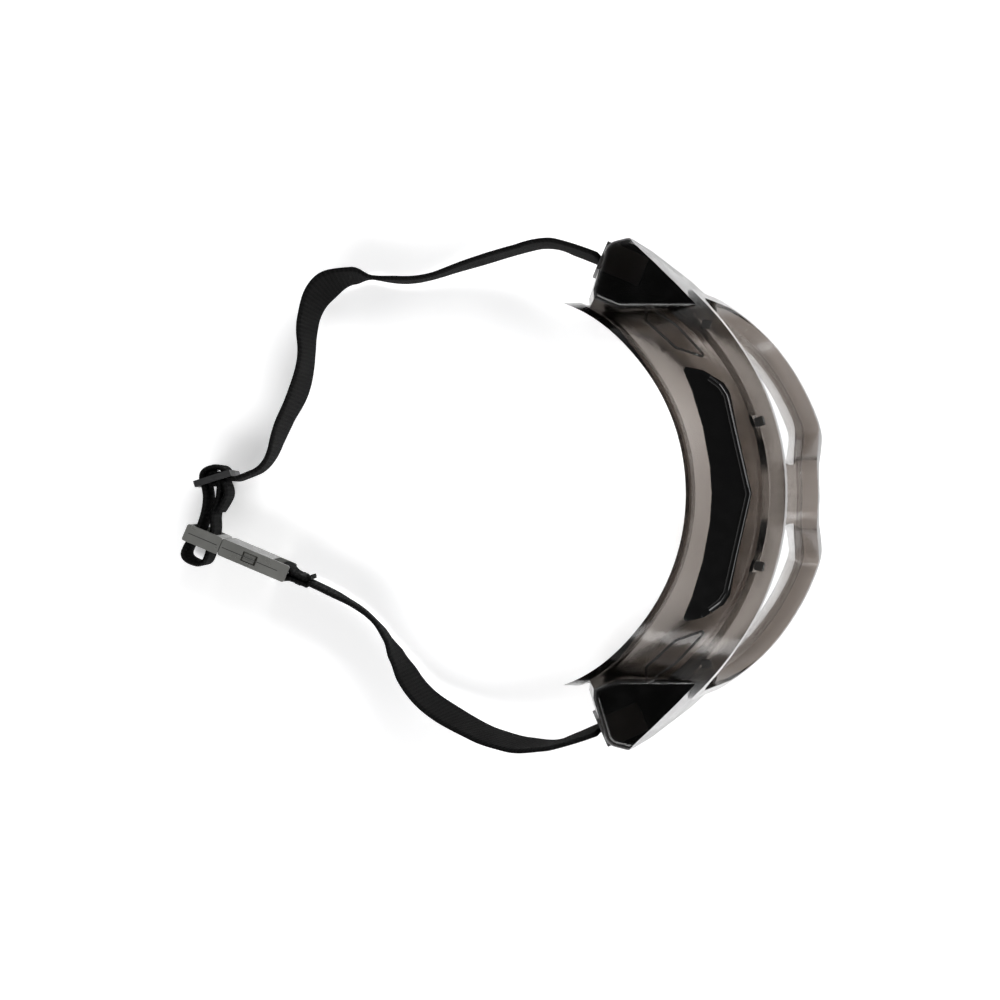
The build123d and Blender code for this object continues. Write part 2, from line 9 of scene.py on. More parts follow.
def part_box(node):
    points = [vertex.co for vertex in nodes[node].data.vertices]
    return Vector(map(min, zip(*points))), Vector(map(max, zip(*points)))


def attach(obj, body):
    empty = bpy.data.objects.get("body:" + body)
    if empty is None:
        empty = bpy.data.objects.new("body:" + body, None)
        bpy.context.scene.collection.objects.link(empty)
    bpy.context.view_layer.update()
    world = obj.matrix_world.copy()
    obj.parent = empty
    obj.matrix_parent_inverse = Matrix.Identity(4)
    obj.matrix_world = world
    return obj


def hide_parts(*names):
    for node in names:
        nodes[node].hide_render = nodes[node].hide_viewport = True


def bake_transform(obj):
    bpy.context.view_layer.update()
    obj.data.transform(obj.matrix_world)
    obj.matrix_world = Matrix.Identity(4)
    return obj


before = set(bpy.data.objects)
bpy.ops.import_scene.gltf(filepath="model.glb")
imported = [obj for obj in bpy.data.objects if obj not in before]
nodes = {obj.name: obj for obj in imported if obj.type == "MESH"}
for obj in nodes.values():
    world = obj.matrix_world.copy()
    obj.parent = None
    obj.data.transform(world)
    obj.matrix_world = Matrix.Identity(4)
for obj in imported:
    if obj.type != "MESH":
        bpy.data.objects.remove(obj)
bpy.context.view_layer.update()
MM = 0.001

# the strap, in millimetres, and the height of its middle over the table at the buckle and at the lugs
STRAP_WIDTH = 25.0
STRAP_THICK = 1.6
STRAP_LOW = 15.3
STRAP_HIGH = 42.0

# Places are written in the plan that the part is drawn in, in millimetres. The slider's place in that
# plan is known, so its place in the frame says how far the frame's origin is from the plan's.
GLIDE_AT = (5.4, 168.0)
slider_low, slider_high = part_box("slider")
SHIFT = (slider_low.y + slider_high.y) / 2 / MM - GLIDE_AT[1]


def place(x, y, z=STRAP_LOW):
    """A point of the plan, in the frame's metres."""
    return Vector((x, y + SHIFT, z)) * MM


# camera: straight above the table, the lens side to the right of the picture
CAMERA_AT = (-2.0, 69.0, 800.0)
CAMERA_LENS = 80.64
eye = bpy.data.cameras.new("eye")
eye.sensor_width = 36.0
eye.lens = CAMERA_LENS
eye.clip_start = 0.01
eye.clip_end = 10.0
camera = bpy.data.objects.new("camera", eye)
camera.location = place(*CAMERA_AT)
camera.rotation_euler = (0, 0, -pi / 2)
bpy.context.collection.objects.link(camera)
bpy.context.scene.camera = camera


# ---------------------------------------------------------------- materials
def new_material(name):
    mat = bpy.data.materials.new(name)
    mat.use_nodes = True
    tree = mat.node_tree
    return mat, tree, tree.nodes["Principled BSDF"]


def add_node(tree, kind, **values):
    node = tree.nodes.new(kind)
    for key, value in values.items():
        if hasattr(node, key):
            setattr(node, key, value)
        else:
            node.inputs[key.replace("_", " ")].default_value = value
    return node


def ramp(tree, source, stops):
    node = tree.nodes.new("ShaderNodeValToRGB")
    tree.links.new(source, node.inputs["Fac"])
    bar = node.color_ramp
    while len(bar.elements) < len(stops):
        bar.elements.new(0.5)
    for element, (at, colour) in zip(bar.elements, stops):
        element.position = at
        element.color = (*colour, 1)
    return node.outputs["Color"]


def grey(v):
    return (v, v, v)


def noise(tree, scale, detail):
    where = tree.nodes.new("ShaderNodeTexCoord")
    node = add_node(tree, "ShaderNodeTexNoise", Scale=scale, Detail=detail)
    tree.links.new(where.outputs["Object"], node.inputs["Vector"])
    return node.outputs["Fac"]


def bump(tree, shader, source, strength, distance, after=None):
    """Bumps from a height, on top of the normals of an earlier bump if one is given."""
    node = add_node(tree, "ShaderNodeBump", Strength=strength, Distance=distance)
    tree.links.new(source, node.inputs["Height"])
    if after is not None:
        tree.links.new(after, node.inputs["Normal"])
    tree.links.new(node.outputs["Normal"], shader.inputs["Normal"])
    return node.outputs["Normal"]


def let_light_through(tree, shader, tint):
    """Lamp rays pass with a tint, so that a clear or smoky piece casts only a faint shadow."""
    out = tree.nodes["Material Output"]
    path = tree.nodes.new("ShaderNodeLightPath")
    clear = tree.nodes.new("ShaderNodeBsdfTransparent")
    clear.inputs["Color"].default_value = (*tint, 1)
    mix = tree.nodes.new("ShaderNodeMixShader")
    tree.links.new(path.outputs["Is Shadow Ray"], mix.inputs[0])
    tree.links.new(shader.outputs[0], mix.inputs[1])
    tree.links.new(clear.outputs[0], mix.inputs[2])
    tree.links.new(mix.outputs[0], out.inputs["Surface"])


def soft_smoke():
    """Smoky soft plastic: clear at its surface, and darker the thicker it is."""
    mat, tree, shader = new_material("soft_smoke")
    colour = ramp(tree, noise(tree, 22.0, 3.0), [(0.3, (0.60, 0.575, 0.55)), (0.7, (0.66, 0.63, 0.60))])
    tree.links.new(colour, shader.inputs["Base Color"])
    rough = ramp(tree, noise(tree, 160.0, 5.0), [(0.3, grey(0.12)), (0.7, grey(0.20))])
    tree.links.new(rough, shader.inputs["Roughness"])
    shader.inputs["IOR"].default_value = 1.46
    shader.inputs["Specular IOR Level"].default_value = 0.32
    shader.inputs["Transmission Weight"].default_value = 1.0
    bump(tree, shader, noise(tree, 900.0, 4.0), 0.06, 0.0003)
    smoke = tree.nodes.new("ShaderNodeVolumeAbsorption")
    smoke.inputs["Color"].default_value = (0.40, 0.355, 0.325, 1)
    smoke.inputs["Density"].default_value = 560.0
    tree.links.new(smoke.outputs[0], tree.nodes["Material Output"].inputs["Volume"])
    let_light_through(tree, shader, (0.93, 0.925, 0.92))
    return mat


def clear_lens():
    """Clear hard plastic, with faint wear in its gloss."""
    mat, tree, shader = new_material("clear_lens")
    shader.inputs["Base Color"].default_value = (0.97, 0.985, 0.99, 1)
    shader.inputs["IOR"].default_value = 1.5
    shader.inputs["Transmission Weight"].default_value = 1.0
    rough = ramp(tree, noise(tree, 60.0, 6.0), [(0.35, grey(0.0)), (0.75, grey(0.03))])
    tree.links.new(rough, shader.inputs["Roughness"])
    bump(tree, shader, noise(tree, 1600.0, 2.0), 0.01, 0.0001)
    let_light_through(tree, shader, (0.93, 0.94, 0.95))
    return mat


def plastic(name, colour, rough, grain, depth, clear=0.0, tint=None):
    """Moulded plastic. grain and depth are the scale and strength of its fine surface; tint is the
    colour of the light that passes through a clear one."""
    mat, tree, shader = new_material(name)
    dark = tuple(c * 0.8 for c in colour)
    shade = ramp(tree, noise(tree, 45.0, 4.0), [(0.3, dark), (0.7, colour)])
    tree.links.new(shade, shader.inputs["Base Color"])
    worn = [(0.3, grey(rough * 0.8)), (0.7, grey(rough * 1.25))]
    tree.links.new(ramp(tree, noise(tree, 240.0, 5.0), worn), shader.inputs["Roughness"])
    shader.inputs["Transmission Weight"].default_value = clear
    bump(tree, shader, noise(tree, grain, 3.0), depth, 0.0003)
    if tint:
        let_light_through(tree, shader, tint)
    return mat


# the weave: threads over the strap's width, ribs along its length, and how much the threads bend a rib
THREADS_PER_METRE = 950.0
RIBS_PER_METRE = 700.0
RIB_WAVER = 1.4
WEAVE_DARK = 0.002
WEAVE_LIGHT = 0.007


def woven():
    """Fine woven elastic: ribs across the strap and threads along it, read from the strap's own map."""
    mat, tree, shader = new_material("weave")
    strap_map = tree.nodes.new("ShaderNodeUVMap")
    strap_map.uv_map = "weave"
    split = tree.nodes.new("ShaderNodeSeparateXYZ")
    tree.links.new(strap_map.outputs["UV"], split.inputs[0])

    def ribs(source, per_metre, phase=None):
        times = add_node(tree, "ShaderNodeMath", operation="MULTIPLY")
        times.inputs[1].default_value = per_metre * 2 * pi
        tree.links.new(source, times.inputs[0])
        value = times.outputs[0]
        if phase is not None:
            plus = add_node(tree, "ShaderNodeMath", operation="ADD")
            tree.links.new(value, plus.inputs[0])
            tree.links.new(phase, plus.inputs[1])
            value = plus.outputs[0]
        wave = add_node(tree, "ShaderNodeMath", operation="SINE")
        tree.links.new(value, wave.inputs[0])
        return wave.outputs[0]

    across = ribs(split.outputs["Y"], THREADS_PER_METRE)
    waver = add_node(tree, "ShaderNodeMath", operation="MULTIPLY")
    waver.inputs[1].default_value = RIB_WAVER
    tree.links.new(across, waver.inputs[0])
    along = ribs(split.outputs["X"], RIBS_PER_METRE, waver.outputs[0])
    both = add_node(tree, "ShaderNodeMath", operation="MULTIPLY")
    tree.links.new(across, both.inputs[0])
    tree.links.new(along, both.inputs[1])
    height = add_node(tree, "ShaderNodeMath", operation="MULTIPLY_ADD")
    height.inputs[1].default_value = 0.5
    height.inputs[2].default_value = 0.5
    tree.links.new(both.outputs[0], height.inputs[0])
    shade = ramp(tree, height.outputs[0], [(0.15, grey(WEAVE_DARK)), (0.9, grey(WEAVE_LIGHT))])
    tree.links.new(shade, shader.inputs["Base Color"])
    fuzz = noise(tree, 2600.0, 3.0)
    first = bump(tree, shader, height.outputs[0], 0.55, 0.00035)
    bump(tree, shader, fuzz, 0.25, 0.0002, first)
    shader.inputs["Roughness"].default_value = 0.85
    shader.inputs["Specular IOR Level"].default_value = 0.05
    return mat


def foam():
    """Fine open foam, with a cell pattern."""
    mat, tree, shader = new_material("foam")
    cell = add_node(tree, "ShaderNodeTexVoronoi", Scale=900.0)
    where = tree.nodes.new("ShaderNodeTexCoord")
    tree.links.new(where.outputs["Object"], cell.inputs["Vector"])
    shade = ramp(tree, cell.outputs["Distance"], [(0.1, grey(0.01)), (0.8, grey(0.06))])
    tree.links.new(shade, shader.inputs["Base Color"])
    bump(tree, shader, cell.outputs["Distance"], 0.8, 0.0006)
    shader.inputs["Roughness"].default_value = 0.95
    return mat


SMOKE = soft_smoke()
LENS = clear_lens()
GLOSS_BLACK = plastic("gloss_black", (0.0015, 0.0015, 0.0016), 0.14, 700.0, 0.04)
MATTE_BLACK = plastic("matte_black", (0.005, 0.005, 0.0055), 0.42, 1400.0, 0.2)
SMOKE_BEAD = plastic("smoke_bead", (0.035, 0.033, 0.031), 0.12, 900.0, 0.05, clear=0.5)
SEAM_DARK = plastic("seam_dark", (0.012, 0.012, 0.012), 0.5, 1500.0, 0.2)
BUCKLE_TINT = (0.45, 0.45, 0.43)
BUCKLE = plastic("buckle_grey", (0.17, 0.17, 0.16), 0.3, 1100.0, 0.08, clear=0.35, tint=BUCKLE_TINT)
THREAD = plastic("thread_black", (0.015, 0.015, 0.016), 0.7, 3000.0, 0.3)
WEAVE = woven()
FOAM = foam()

for name, mat in {
    "frame_body": SMOKE,
    "lens": LENS,
    "vent_cover": GLOSS_BLACK,
    "vent_filter": FOAM,
    "anchor_left": MATTE_BLACK,
    "anchor_right": MATTE_BLACK,
    "slider": MATTE_BLACK,
    "buckle_clip": BUCKLE,
    "clip_arm_upper": BUCKLE,
    "clip_arm_lower": BUCKLE,
    "buckle_socket": BUCKLE,
}.items():
    for holder in nodes[name].material_slots:
        holder.material = mat


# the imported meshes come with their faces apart, so they are joined before their edges are rounded
WELD_WITHIN = 0.002
SHARP_FROM = 32
FLAT_FACE_WEIGHT = 90


def round_edges(name, width, segments=3):
    """Smooth shading with small rounded edges; width is in millimetres."""
    piece = nodes[name]
    for face in piece.data.polygons:
        face.use_smooth = True
    weld = piece.modifiers.new("weld", "WELD")
    weld.merge_threshold = WELD_WITHIN * MM
    edge = piece.modifiers.new("round", "BEVEL")
    edge.width = width * MM
    edge.segments = segments
    edge.limit_method = "ANGLE"
    edge.angle_limit = radians(SHARP_FROM)
    edge.miter_outer = "MITER_ARC"
    even = piece.modifiers.new("even", "WEIGHTED_NORMAL")
    even.weight = FLAT_FACE_WEIGHT


round_edges("frame_body", 0.55)
round_edges("lens", 0.3, 2)
round_edges("vent_cover", 0.35)
round_edges("anchor_left", 0.4)
round_edges("anchor_right", 0.4)
round_edges("slider", 0.3)
for name in ("buckle_clip", "clip_arm_upper", "clip_arm_lower", "buckle_socket"):
    round_edges(name, 0.35, 2)


# ---------------------------------------------------------------- straps
CURVE_ORDER = 3
POINTS_PER_SPAN = 12


def line_of(points):
    """Points read from one smooth NURBS line that has these control points, in metres."""
    curve = bpy.data.curves.new("line", "CURVE")
    curve.dimensions = "3D"
    curve.resolution_u = POINTS_PER_SPAN
    spline = curve.splines.new("NURBS")
    spline.points.add(len(points) - 1)
    for node, point in zip(spline.points, points):
        node.co = (*place(*point), 1)
    spline.order_u = CURVE_ORDER
    spline.use_endpoint_u = True
    holder = bpy.data.objects.new("line", curve)
    bpy.context.collection.objects.link(holder)
    mesh = bpy.data.meshes.new_from_object(holder)
    path = [v.co.copy() for v in mesh.vertices]
    bpy.data.objects.remove(holder)
    bpy.data.curves.remove(curve)
    bpy.data.meshes.remove(mesh)
    return path


def smooth(a, b, t):
    """From a to b as t goes from 0 to 1, slowly at both ends."""
    t = min(max(t, 0.0), 1.0)
    t = t * t * (3 - 2 * t)
    return a + (b - a) * t


# a strap's section: points up each face, and the share of its half width over which its edges thin
FACE_STEPS = 14
SELVEDGE = 0.07
SELVEDGE_THINNING = 0.75
# how far apart the two faces are on the weave's map, in metres
BACK_FACE_SHIFT = 0.05


def strap(name, path, width=STRAP_WIDTH, lean=()):
    """A webbing strap on edge along path, in metres. lean is pairs of (share of length, degrees), and
    it leans to the left where the degrees are positive."""
    half_w, half_t = width * MM / 2, STRAP_THICK * MM / 2
    ring = [(1, -half_w + 2 * half_w * i / FACE_STEPS) for i in range(FACE_STEPS + 1)]
    ring += [(-1, w) for _, w in reversed(ring)]
    lengths = [0.0]
    for a, b in zip(path, path[1:]):
        lengths.append(lengths[-1] + (b - a).length)
    total = lengths[-1]
    verts, faces = [], []
    count = len(ring)
    for i, p in enumerate(path):
        before, after = path[max(i - 1, 0)], path[min(i + 1, len(path) - 1)]
        ahead = (after - before).normalized()
        flat = Vector((ahead.x, ahead.y, 0)).normalized()
        side = Vector((-flat.y, flat.x, 0))
        share = lengths[i] / total
        tilt = 0.0
        for (s0, d0), (s1, d1) in zip(lean, lean[1:]):
            if s0 <= share <= s1:
                tilt = radians(smooth(d0, d1, (share - s0) / (s1 - s0)))
        up = (Vector((0, 0, 1)) - ahead * ahead.z).normalized()
        up, across = up * cos(tilt) + side * sin(tilt), side * cos(tilt) - up * sin(tilt)
        for sign, w in ring:
            into_edge = max(0.0, (abs(w) / half_w - (1 - SELVEDGE)) / SELVEDGE)
            full = 1 - into_edge**2 * SELVEDGE_THINNING
            verts.append(p + up * w + across * (sign * half_t * full))
    for i in range(len(path) - 1):
        for j in range(count):
            k = (j + 1) % count
            faces.append((i * count + j, (i + 1) * count + j, (i + 1) * count + k, i * count + k))
    last = (len(path) - 1) * count
    faces.append(tuple(range(count)))
    faces.append(tuple(reversed(range(last, last + count))))
    mesh = bpy.data.meshes.new(name)
    mesh.from_pydata(verts, [], faces)
    layer = mesh.uv_layers.new(name="weave")
    for face in mesh.polygons:
        face.use_smooth = True
        for corner in face.loop_indices:
            i, j = divmod(mesh.loops[corner].vertex_index, count)
            sign, w = ring[j]
            layer.data[corner].uv = (lengths[i], w + (BACK_FACE_SHIFT if sign < 0 else 0.0))
    piece = bpy.data.objects.new(name, mesh)
    bpy.context.collection.objects.link(piece)
    mesh.materials.append(WEAVE)
    mesh.validate()
    return piece


# how far down from the lugs the strap has come, as (plan y, share of the way)
SINK = [(25.0, 0.0), (37.1, 0.0), (62.0, 0.40), (84.0, 0.83), (103.0, 1.0), (200.0, 1.0)]


def sinking(points):
    """Plan points with the strap's height there: high at the lugs, and down on the table at the back."""
    out = []
    for x, y in points:
        share = SINK[-1][1]
        for (y0, s0), (y1, s1) in zip(SINK, SINK[1:]):
            if y0 <= y <= y1:
                share = s0 + (s1 - s0) * (y - y0) / (y1 - y0)
                break
        out.append((x, y, STRAP_HIGH + (STRAP_LOW - STRAP_HIGH) * share))
    return out


long_route = [
    (79.0, 34.33),
    (82.58, 42.53),
    (86.0, 53.0),
    (83.5, 66.0),
    (79.5, 81.0),
    (75.0, 96.0),
    (75.0, 109.0),
    (77.5, 121.0),
    (72.0, 132.5),
    (60.0, 137.0),
    (47.0, 136.5),
    (35.0, 139.5),
    (24.0, 145.5),
    (9.6, 150.0),
    (5.7, 159.71),
    (5.58, 160.09),
]
short_route = [
    (-79.0, 34.33),
    (-82.58, 42.53),
    (-87.0, 55.0),
    (-85.0, 70.0),
    (-79.0, 84.0),
    (-70.0, 97.5),
    (-57.0, 105.0),
    (-45.0, 111.5),
    (-37.0, 122.0),
    (-30.78, 135.62),
]
# each strap's lean, as (share of its length, degrees)
LONG_LEAN = [
    (0, 0),
    (0.13, 1),
    (0.30, 0),
    (0.43, 3),
    (0.50, 2),
    (0.565, 5),
    (0.61, -7),
    (0.68, -17),
    (0.77, -12),
    (0.85, -8),
    (0.93, -10),
    (1, -7),
]
SHORT_LEAN = [
    (0, 0),
    (0.14, -3),
    (0.25, 7),
    (0.34, 10),
    (0.48, 14),
    (0.62, 14),
    (0.68, 8),
    (0.74, 0),
    (0.80, -3),
    (0.87, -2),
    (0.93, 0),
    (1, 0),
]
LEAD_LEAN = [(0, -7), (0.7, 0), (1, 0)]
whole = line_of(sinking(long_route))
# the long strap is two pieces, because its two ends move with two different bodies
cut_at = place(26.5, 143.5)
cut = min(range(len(whole)), key=lambda i: (whole[i] - cut_at).length)
strap_long = strap("strap_long", whole[: cut + 1], lean=LONG_LEAN)
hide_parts("strap_long")
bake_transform(strap_long)
strap_lead = strap("strap_lead", whole[cut:], lean=LEAD_LEAN)
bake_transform(strap_lead)
strap_short = strap("strap_short", line_of(sinking(short_route)), lean=SHORT_LEAN)
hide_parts("strap_short")
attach(strap_short, "goggles")


def arc(radius, start, stop, steps):
    """Points round the origin, from one angle to another in degrees."""
    angles = [radians(start + (stop - start) * i / steps) for i in range(steps + 1)]
    return [(radius * cos(a), radius * sin(a)) for a in angles]


def unit(x, y):
    return (x / hypot(x, y), y / hypot(x, y))


def on(origin, x_dir, x, y):
    """A plan point from x along a direction and y to the left of it."""
    return (origin[0] + x_dir[0] * x - x_dir[1] * y, origin[1] + x_dir[1] * x + x_dir[0] * y)


# the buckle's place, and the directions that the buckle and the slider lie in
BUCKLE_AT = (-17.9, 165.4)
BUCKLE_AXIS = unit(-0.39, -0.921)
GLIDE_AXIS = unit(-0.30, 0.954)
# the strap's turn round the slider's middle bar, and how far to each side of that bar it passes through
GLIDE_R = 1.95
GLIDE_SLOT = 4.05
# the clip's bar along the buckle's direction, and how far to each side of it the strap passes
CLIP_BAR = -7.2
CLIP_TURN = 2.6

# the doubled run, out through the slider, round the clip's bar and back to the slider's middle bar
doubled_run = [
    on(GLIDE_AT, GLIDE_AXIS, -7.6, 2.2),
    on(GLIDE_AT, GLIDE_AXIS, -GLIDE_SLOT, 2.2),
    on(GLIDE_AT, GLIDE_AXIS, -GLIDE_SLOT, -4.0),
    on(GLIDE_AT, GLIDE_AXIS, GLIDE_SLOT, -4.0),
    on(GLIDE_AT, GLIDE_AXIS, GLIDE_SLOT, 3.0),
    (-3.0, 170.9),
    on(BUCKLE_AT, BUCKLE_AXIS, CLIP_BAR - CLIP_TURN, 6.0),
    on(BUCKLE_AT, BUCKLE_AXIS, CLIP_BAR - CLIP_TURN, 0.0),
    on(BUCKLE_AT, BUCKLE_AXIS, CLIP_BAR - 4.2, -4.0),
    on(BUCKLE_AT, BUCKLE_AXIS, CLIP_BAR - 4.0, -9.3),
    on(BUCKLE_AT, BUCKLE_AXIS, CLIP_BAR + 3.8, -9.3),
    on(BUCKLE_AT, BUCKLE_AXIS, CLIP_BAR + 4.0, -4.0),
    on(BUCKLE_AT, BUCKLE_AXIS, CLIP_BAR + CLIP_TURN, 0.0),
    on(BUCKLE_AT, BUCKLE_AXIS, CLIP_BAR + CLIP_TURN, 3.6),
    (-6.5, 168.7),
    (-1.8, 166.2),
    on(GLIDE_AT, GLIDE_AXIS, -GLIDE_R, 0.5),
]


def level(points):
    """Plan points at the height of the strap on the table."""
    return [(x, y, STRAP_LOW) for x, y in points]


doubled = strap("strap_doubled", line_of(level(doubled_run)))
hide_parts("strap_run_out", "strap_run_back")
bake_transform(doubled)


# sewn loops: half the distance between the middles of the two layers, and the angle from the layers'
# direction at which the turn round the bar starts
HALF_GAP = 0.82
LOOP_OPENS = 48


def sewn_loop(name, centre, x_dir, z, radius, stack, body, node, flare=0.0):
    """A turn round a bar, whose two layers lie on each other beyond it. One cut end may flare out."""
    layer = [
        (radius + stack, HALF_GAP + flare),
        (radius + stack - 0.6, HALF_GAP + flare * 0.7),
        (radius + stack - 1.6, HALF_GAP),
        (radius + stack * 0.5, HALF_GAP),
        (radius + 0.8, HALF_GAP + 0.25),
    ]
    turn = arc(radius, LOOP_OPENS, 360 - LOOP_OPENS, 22)
    other = [
        (radius + 0.8, -HALF_GAP - 0.25),
        (radius + stack * 0.5, -HALF_GAP),
        (radius + stack, -HALF_GAP),
    ]
    path = [place(*on(centre, x_dir, x, y), z) for x, y in layer + turn + other]
    piece = strap(name, path)
    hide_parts(node)
    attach(piece, body)


# bar-tacks: thread radius, rows of the zigzag, its reach to each side and its height
THREAD_R = 0.17
TACK_ROWS = 44
TACK_REACH = 0.9
TACK_HIGH = 22.0
# how far the thread lies from the middle of two sewn layers, and of one
ON_TWO_LAYERS = 1.68
ON_ONE_LAYER = 0.9


def stitches(name, centre, x_dir, z, at, body, out=ON_TWO_LAYERS):
    """A bar-tack: a zigzag of thick thread down both faces of the sewn layers."""
    curve = bpy.data.curves.new(name, "CURVE")
    curve.dimensions = "3D"
    curve.bevel_depth = THREAD_R * MM
    curve.bevel_resolution = 2
    for face in (1, -1):
        spline = curve.splines.new("POLY")
        spline.points.add(TACK_ROWS - 1)
        for i in range(TACK_ROWS):
            x, y = on(centre, x_dir, at + (TACK_REACH if i % 2 else -TACK_REACH), face * out)
            rise = TACK_HIGH * (i / (TACK_ROWS - 1) - 0.5)
            spline.points[i].co = (*place(x, y, z + rise), 1)
    piece = bpy.data.objects.new(name, curve)
    bpy.context.collection.objects.link(piece)
    curve.materials.append(THREAD)
    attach(piece, body)


# a place on the left lug's back face, the direction out of it, and how far in the anchor's pin lies
LUG_BACK = (78.9, 34.1)
LUG_OUT = unit(0.40, 0.917)
PIN_IN = 8.0
# the socket's bar along the buckle's direction, and how far the strap's cut end flares there
SOCKET_BAR = 23.3
SOCKET_FLARE = 1.5
# each loop's turn and the sewn layers' length beyond it, and where the bar-tack lies from the bar
LUG_TURN = 2.45
LUG_STACK = 5.7
SOCKET_TURN = 2.35
SOCKET_STACK = 7.2
TACK_AT = 6.2
for side, tag in ((1, "left"), (-1, "right")):
    direction = (side * LUG_OUT[0], LUG_OUT[1])
    pin = (side * (LUG_BACK[0] - PIN_IN * LUG_OUT[0]), LUG_BACK[1] - PIN_IN * LUG_OUT[1])
    sewn_loop("loop_" + tag, pin, direction, STRAP_HIGH, LUG_TURN, LUG_STACK, "goggles", "loop_" + tag)
    stitches("tack_" + tag, pin, direction, STRAP_HIGH, TACK_AT, "goggles")
socket_bar = on(BUCKLE_AT, BUCKLE_AXIS, SOCKET_BAR, 0.0)
near_socket = short_route[-2]
away = unit(near_socket[0] - socket_bar[0], near_socket[1] - socket_bar[1])
sewn_loop(
    "loop_socket",
    socket_bar,
    away,
    STRAP_LOW,
    SOCKET_TURN,
    SOCKET_STACK,
    "goggles",
    "loop_socket",
    flare=SOCKET_FLARE,
)
stitches("tack_socket", socket_bar, away, STRAP_LOW, TACK_AT, "goggles")

# the strap's turn round the slider's middle bar, and its stitching
ring_path = [place(*on(GLIDE_AT, GLIDE_AXIS, x, y)) for x, y in arc(GLIDE_R, -170, 170, 20)]
ring = strap("loop_slider", ring_path)
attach(ring, "slider")
stitch_at = on(GLIDE_AT, GLIDE_AXIS, -GLIDE_R, 4.0)
across_glide = (-GLIDE_AXIS[1], GLIDE_AXIS[0])
stitches("tack_slider", stitch_at, across_glide, STRAP_LOW, 0.0, "slider", ON_ONE_LAYER)

# the sewn end of the strap, folded back beside the doubled run and bulging a little
fold_route = [(4.6, 165.0), (1.6, 163.5), (-2.0, 164.3), (-5.9, 167.0)]
FOLD_WIDTH = 24.4
fold = strap("strap_fold", line_of(level(fold_route)), width=FOLD_WIDTH)
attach(fold, "slider")


# ---------------------------------------------------------------- moulded relief
def surface_of(name):
    """The node's mesh as a tree that rays can be cast at."""
    mesh = nodes[name].data
    return BVHTree.FromPolygons([v.co for v in mesh.vertices], [p.vertices[:] for p in mesh.polygons])


# a height over every piece, in millimetres
ABOVE_ALL = 150.0


def on_top(tree, x, y):
    """The highest point of a surface at a place of the plan, and its normal."""
    hit, normal, _, _ = tree.ray_cast(place(x, y, ABOVE_ALL), Vector((0, 0, -1)))
    return hit, normal


# the share of its radius that a bead is sunk by
BEAD_SUNK = 0.35


def bead(name, points, radius, mat, body):
    """A raised round bead that follows points on a surface, each given with its normal."""
    curve = bpy.data.curves.new(name, "CURVE")
    curve.dimensions = "3D"
    curve.bevel_depth = radius * MM
    curve.bevel_resolution = 3
    curve.use_fill_caps = True
    spline = curve.splines.new("POLY")
    spline.points.add(len(points) - 1)
    for node, (spot, normal) in zip(spline.points, points):
        node.co = (*(spot - normal * radius * BEAD_SUNK * MM), 1)
    piece = bpy.data.objects.new(name, curve)
    bpy.context.collection.objects.link(piece)
    curve.materials.append(mat)
    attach(piece, body)


def between(a, b, steps):
    """Points from a to b, without b."""
    return [(a[0] + (b[0] - a[0]) * i / steps, a[1] + (b[1] - a[1]) * i / steps) for i in range(steps)]


def dropped(tree, corners, steps):
    """A line through plan corners, laid on a surface."""
    line = [p for a, b in zip(corners, corners[1:]) for p in between(a, b, steps)] + [corners[-1]]
    hits = [on_top(tree, *p) for p in line]
    return [hit for hit in hits if hit[0] is not None]


# the beads' radii, then the vent's lip from its end to the middle and the pads' outline, in the plan
LIP_R = 1.1
PAD_BEAD_R = 0.42
cover = surface_of("vent_cover")
body_top = surface_of("frame_body")
lip_half = [(37.6, 1.0), (35.0, -2.3), (32.0, -4.2), (19.5, -6.9), (0.0, -11.2)]
lip_line = lip_half + [(-x, y) for x, y in reversed(lip_half[:-1])]
bead("vent_lip_bead", dropped(cover, lip_line, 8), LIP_R, GLOSS_BLACK, "goggles")
pad_line = [(62.5, 20.2), (61.0, 17.6), (56.0, 11.3), (45.4, 2.6), (44.9, 3.2), (48.0, 11.4), (57.4, 20.6)]
for side, tag in ((1, "left"), (-1, "right")):
    corners = [(side * x, y) for x, y in pad_line + pad_line[:1]]
    bead("pad_bead_" + tag, dropped(body_top, corners, 7), PAD_BEAD_R, SMOKE_BEAD, "goggles")


TAB_SIZE = (3.2, 3.3, 0.9)
TAB_ROUND = 0.3


def tab_cap(name, x, y, turn):
    """A small dark block with rounded edges, laid on the rim over the clear lens tab in its slot."""
    spot, normal = on_top(body_top, x, y)
    solid = bmesh.new()
    bmesh.ops.create_cube(solid, size=1.0)
    bmesh.ops.scale(solid, vec=[size * MM for size in TAB_SIZE], verts=solid.verts)
    bmesh.ops.bevel(solid, geom=solid.edges[:], offset=TAB_ROUND * MM, segments=3, affect="EDGES")
    mesh = bpy.data.meshes.new(name)
    facing = normal.to_track_quat("Z", "Y").to_matrix().to_4x4()
    solid.transform(Matrix.Translation(spot) @ facing @ Matrix.Rotation(radians(turn), 4, "Z"))
    solid.to_mesh(mesh)
    solid.free()
    piece = bpy.data.objects.new(name, mesh)
    bpy.context.collection.objects.link(piece)
    mesh.materials.append(SMOKE_BEAD)
    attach(piece, "goggles")


# each tab's place in the plan and its turn in degrees, on the left side
TABS = (("inner", 23.4, -15.0, 14), ("outer", 55.5, 1.5, 42))
for side, tag in ((1, "left"), (-1, "right")):
    for which, x, y, turn in TABS:
        tab_cap("tab_cap_" + which + "_" + tag, side * x, y, side * turn)

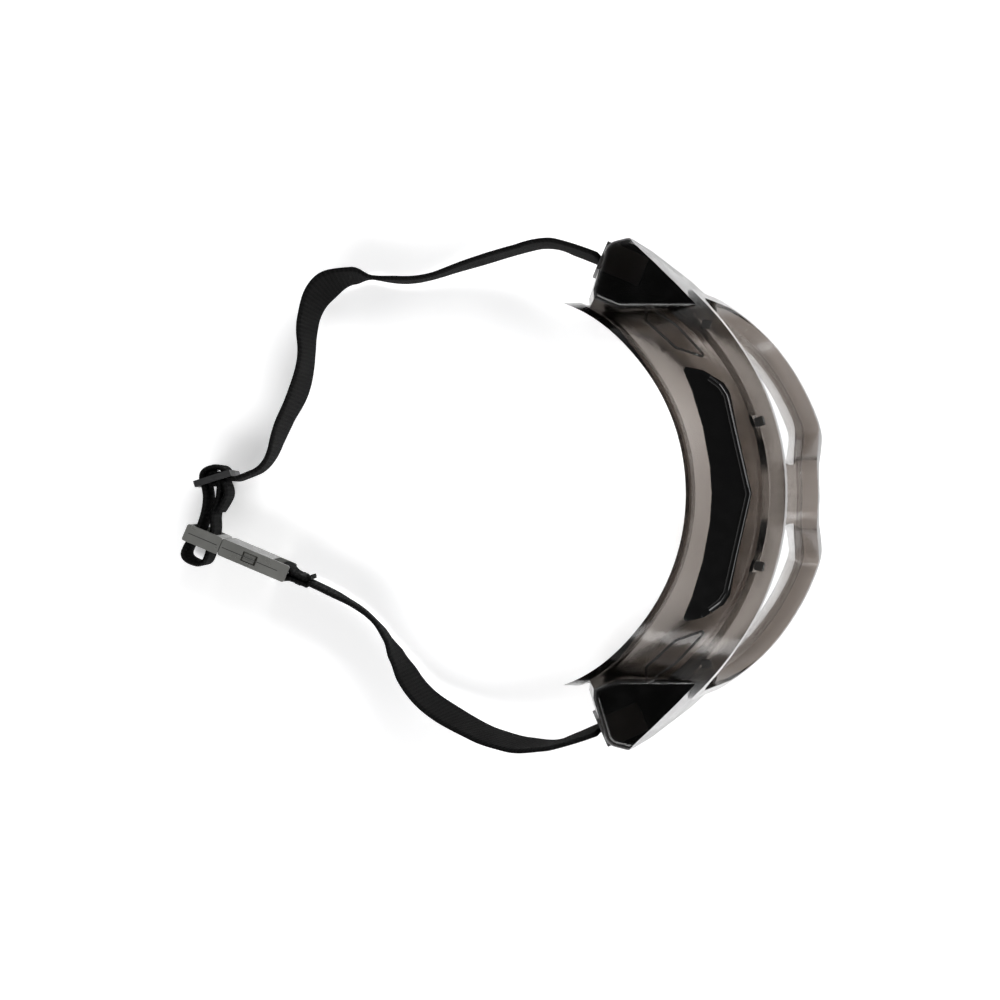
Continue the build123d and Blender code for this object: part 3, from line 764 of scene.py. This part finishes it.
# the parting line along the buckle's upper edge
BUCKLE_TOP = 30.32
PARTING_R = 0.14
up = Vector((0, 0, 1))
for tag, first, last, body in (("clip", -11.6, -1.0, "clip"), ("socket", 0.9, 21.6, "goggles")):
    ends = [on(BUCKLE_AT, BUCKLE_AXIS, x, 0.0) for x in (first, (first + last) / 2, last)]
    line = [(place(x, y, BUCKLE_TOP), up) for x, y in ends]
    bead("parting_" + tag, line, PARTING_R, SEAM_DARK, body)

# ---------------------------------------------------------------- table, light
FLOOR_REACH = 3
FLOOR_Z = -0.0004
floor_corners = [(x * FLOOR_REACH, y * FLOOR_REACH, FLOOR_Z) for x, y in ((-1, -1), (1, -1), (1, 1), (-1, 1))]
floor_mesh = bpy.data.meshes.new("floor")
floor_mesh.from_pydata(floor_corners, [], [(0, 1, 2, 3)])
floor = bpy.data.objects.new("floor", floor_mesh)
bpy.context.collection.objects.link(floor)
# the table glows a little, as a white sheet under a light tent does
mat, tree, shader = new_material("table")
shader.inputs["Base Color"].default_value = (0.93, 0.93, 0.935, 1)
shader.inputs["Roughness"].default_value = 0.65
shader.inputs["Emission Color"].default_value = (1, 1, 1, 1)
shader.inputs["Emission Strength"].default_value = 0.34
floor_mesh.materials.append(mat)

world = bpy.data.worlds.new("studio")
bpy.context.scene.world = world
world.use_nodes = True
sky = world.node_tree
aim = sky.nodes.new("ShaderNodeTexCoord")
rise = sky.nodes.new("ShaderNodeSeparateXYZ")
sky.links.new(aim.outputs["Generated"], rise.inputs[0])
# bright at the horizon and dark overhead
stops = [(0.0, grey(0.62)), (0.30, grey(0.50)), (0.72, grey(0.12)), (1.0, grey(0.05))]
brightness = ramp(sky, rise.outputs["Z"], stops)
sky.links.new(brightness, sky.nodes["Background"].inputs["Color"])
sky.nodes["Background"].inputs["Strength"].default_value = 1.0


def lamp(name, spot, target, size, power):
    """A rectangular lamp that faces a target; places and sizes are in metres, power in watts."""
    data = bpy.data.lights.new(name, "AREA")
    data.shape = "RECTANGLE"
    data.size, data.size_y = size
    data.energy = power
    piece = bpy.data.objects.new(name, data)
    piece.location = spot
    piece.rotation_euler = (Vector(target) - Vector(spot)).to_track_quat("-Z", "Y").to_euler()
    bpy.context.collection.objects.link(piece)


lamp("key", (0.62, -0.42, 1.05), (0, 0.05, 0), (0.9, 0.35), 9.0)
lamp("fill", (-0.62, 0.30, 1.0), (0, 0.05, 0), (0.9, 0.5), 8.0)
lamp("front", (0.0, -0.9, 0.55), (0, 0.0, 0.03), (0.9, 0.3), 4.5)
bpy.context.scene.view_settings.view_transform = "Standard"
bpy.context.scene.view_settings.look = "None"
